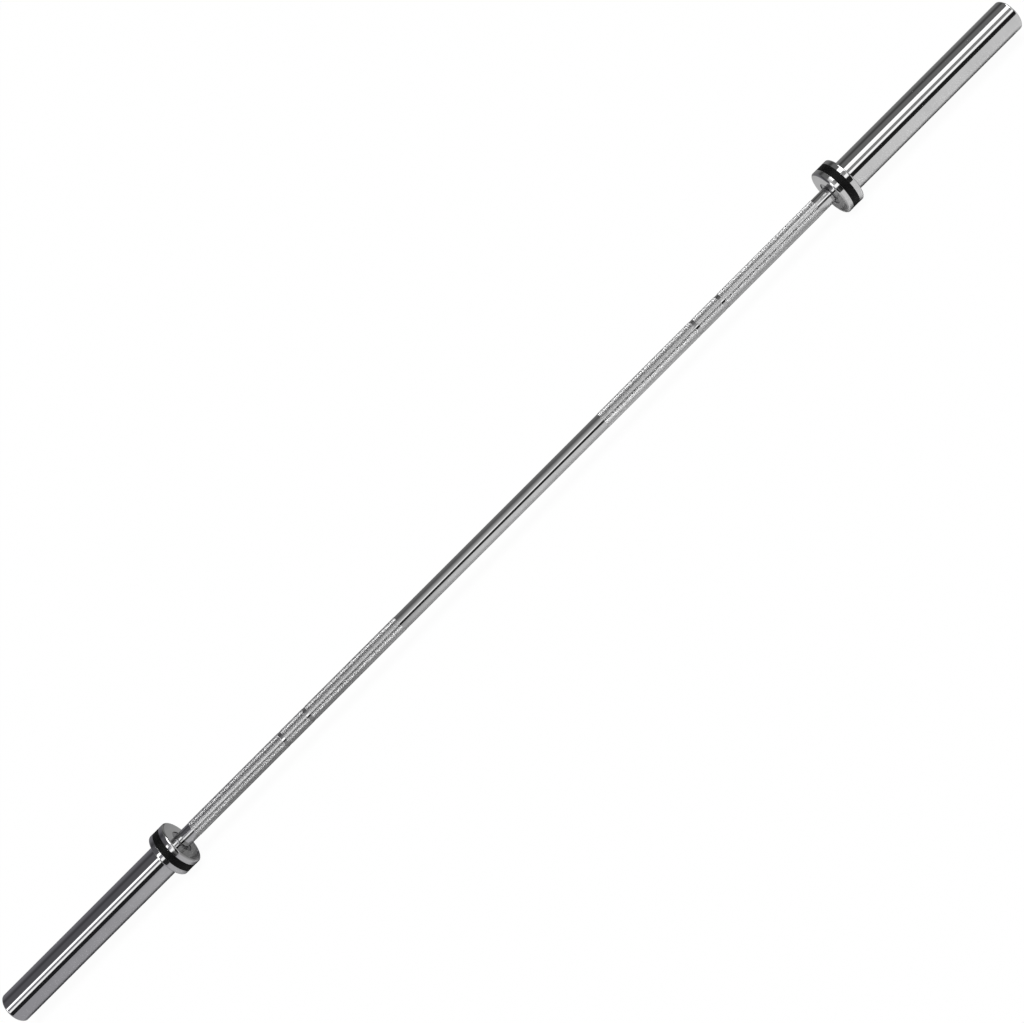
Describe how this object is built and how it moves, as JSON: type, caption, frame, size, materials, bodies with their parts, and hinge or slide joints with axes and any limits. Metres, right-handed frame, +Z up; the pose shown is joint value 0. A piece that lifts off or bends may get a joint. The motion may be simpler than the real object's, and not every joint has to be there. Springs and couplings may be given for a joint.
{
  "type": "olympic barbell",
  "caption": "Chromed olympic barbell: knurled steel shaft with smooth centre and ring marks, and turning sleeves with wide collars that take weight plates at both ends.",
  "frame": {"origin": "middle of the bar, on its axis", "axes": "+X along the bar towards the right end, +Z up, +Y to the left of +X seen from above"},
  "size_m": [2.01, 0.075, 0.075],
  "materials": {
    "chrome_shaft": "hard chrome, polished, knurled grip",
    "chrome_sleeve": "polished chrome",
    "band_rubber": "smooth black rubber, satin",
    "bush_bronze": "machined bronze, oiled",
    "washer_steel": "ground steel",
    "spring_steel": "phosphated spring steel, dark"
  },
  "bodies": {
    "shaft_assembly": {"shaft": "chrome_shaft", "left_inner_thrust_washer": "washer_steel", "left_outer_thrust_washer": "washer_steel", "left_shaft_snap_ring": "spring_steel", "right_inner_thrust_washer": "washer_steel", "right_outer_thrust_washer": "washer_steel", "right_shaft_snap_ring": "spring_steel"},
    "left_sleeve_assembly": {"left_sleeve": "chrome_sleeve", "left_collar": "chrome_sleeve", "left_collar_band": "band_rubber", "left_inner_bush": "bush_bronze", "left_outer_bush": "bush_bronze", "left_end_cap": "chrome_sleeve", "left_cap_snap_ring": "spring_steel"},
    "right_sleeve_assembly": {"right_sleeve": "chrome_sleeve", "right_collar": "chrome_sleeve", "right_collar_band": "band_rubber", "right_inner_bush": "bush_bronze", "right_outer_bush": "bush_bronze", "right_end_cap": "chrome_sleeve", "right_cap_snap_ring": "spring_steel"}
  },
  "joints": [
    {"name": "right_sleeve_spin", "type": "hinge", "parent": "shaft_assembly", "child": "right_sleeve_assembly", "pos_m": [0.83, 0, 0], "axis": [1, 0, 0], "continuous": true},
    {"name": "left_sleeve_spin", "type": "hinge", "parent": "shaft_assembly", "child": "left_sleeve_assembly", "pos_m": [-0.83, 0, 0], "axis": [-1, 0, 0], "continuous": true}
  ]
}
